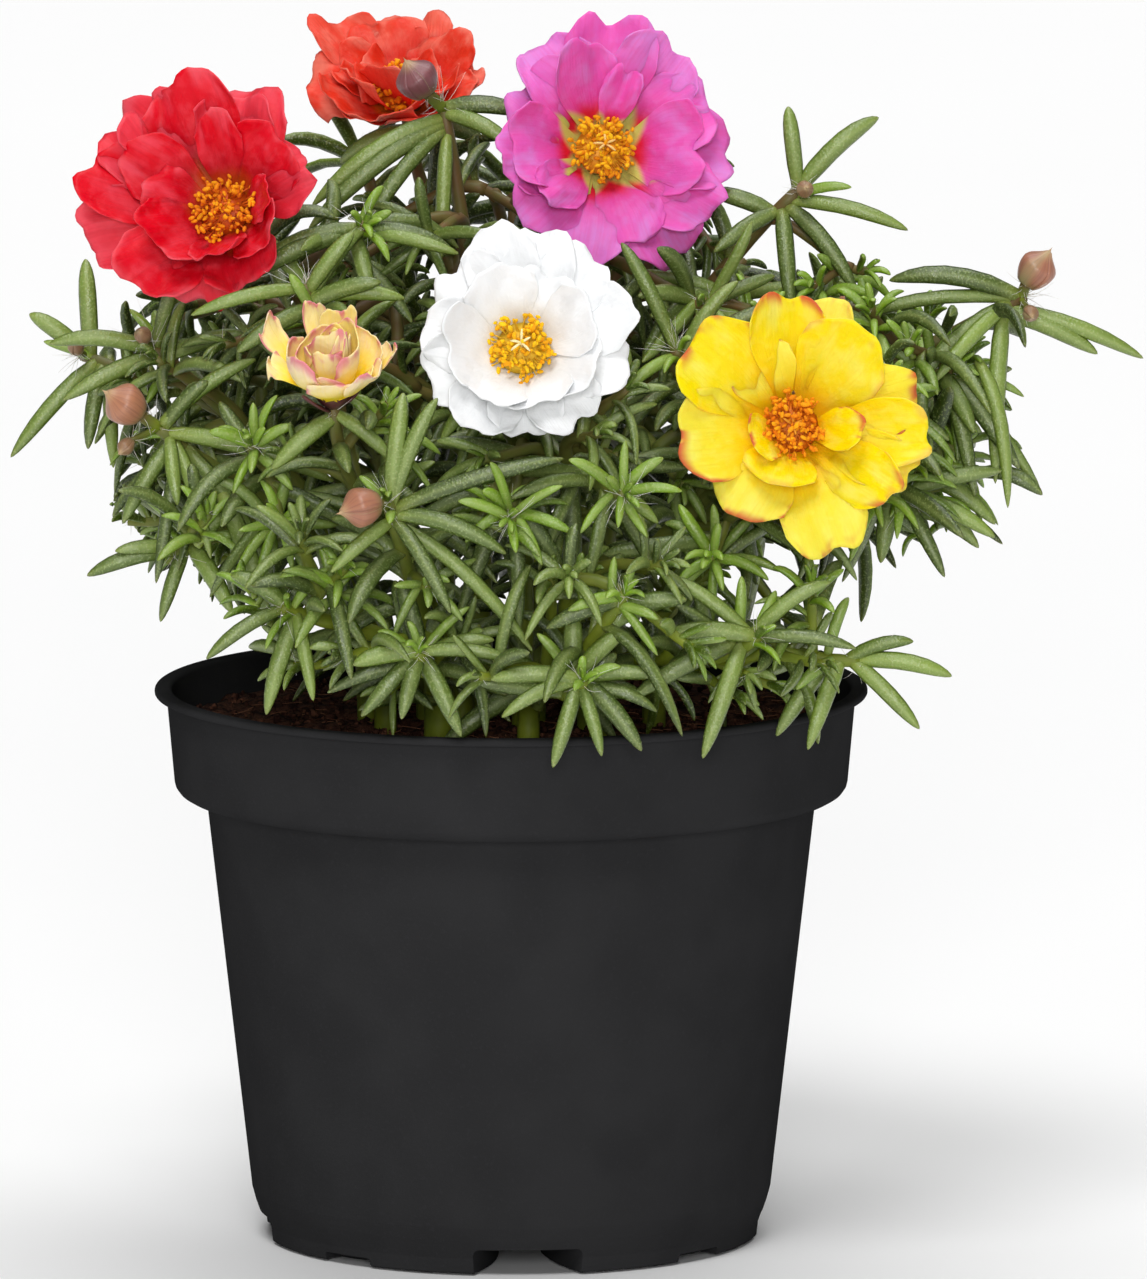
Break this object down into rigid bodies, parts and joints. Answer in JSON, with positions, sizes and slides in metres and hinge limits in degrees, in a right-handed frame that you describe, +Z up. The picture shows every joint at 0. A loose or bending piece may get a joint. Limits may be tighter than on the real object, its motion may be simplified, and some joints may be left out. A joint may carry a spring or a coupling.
{
  "type": "potted moss rose plant",
  "caption": "Potted moss rose (portulaca) in bloom: leafy stems with needle-like fleshy leaves, ruffled open blooms, a half-open bloom and buds over a round black nursery pot of soil.",
  "frame": {"origin": "centre of the pot's underside, on the surface it stands on", "axes": "+Z up along the pot's axis; the front, to which the blooms look, faces -Y; +X to the right seen from the front"},
  "size_m": [0.189, 0.1509, 0.2067],
  "materials": {
    "pot": "satin black moulded plastic with a fine texture",
    "soil": "crumbly dark red-brown peat and coir",
    "leafy_stem": "matte velvety fleshy green leaves on smooth round stems",
    "bud": "matte pinkish brown scales with dry tips",
    "stamens": "matte orange anthers on thin orange filaments",
    "petals_red": "satin thin crinkled petals",
    "petals_orange": "satin thin crinkled petals",
    "petals_magenta": "satin thin crinkled petals",
    "petals_white": "satin thin crinkled petals",
    "petals_yellow": "satin thin crinkled petals",
    "petals_half_open": "satin thin furled petals over a maroon calyx"
  },
  "bodies": {
    "root": {"pot": "pot", "soil": "soil", "petals_red": "petals_red", "stamens_red": "stamens", "petals_orange": "petals_orange", "stamens_orange": "stamens", "petals_magenta": "petals_magenta", "stamens_magenta": "stamens", "petals_white": "petals_white", "stamens_white": "stamens", "petals_yellow": "petals_yellow", "stamens_yellow": "stamens", "petals_half_open": "petals_half_open", "bud_right": "bud", "bud_right_small": "bud", "bud_left": "bud", "bud_left_small": "bud", "bud_centre": "bud", "bud_orange": "bud", "bud_upper_left": "bud", "bud_far_left": "bud", "bud_upper_right": "bud", "bud_back": "bud", "bud_back_left": "bud", "bud_back_right": "bud", "stem_front": "leafy_stem", "stem_front_right": "leafy_stem", "stem_front_left": "leafy_stem", "stem_white": "leafy_stem", "stem_yellow": "leafy_stem", "stem_half_open": "leafy_stem", "stem_left_bud": "leafy_stem", "stem_right": "leafy_stem", "stem_left": "leafy_stem", "stem_red": "leafy_stem", "stem_magenta": "leafy_stem", "stem_orange": "leafy_stem", "stem_upper_right": "leafy_stem", "stem_back_right": "leafy_stem", "stem_back_right_inner": "leafy_stem", "stem_back": "leafy_stem", "stem_back_left_inner": "leafy_stem", "stem_back_left": "leafy_stem"}
  },
  "joints": []
}
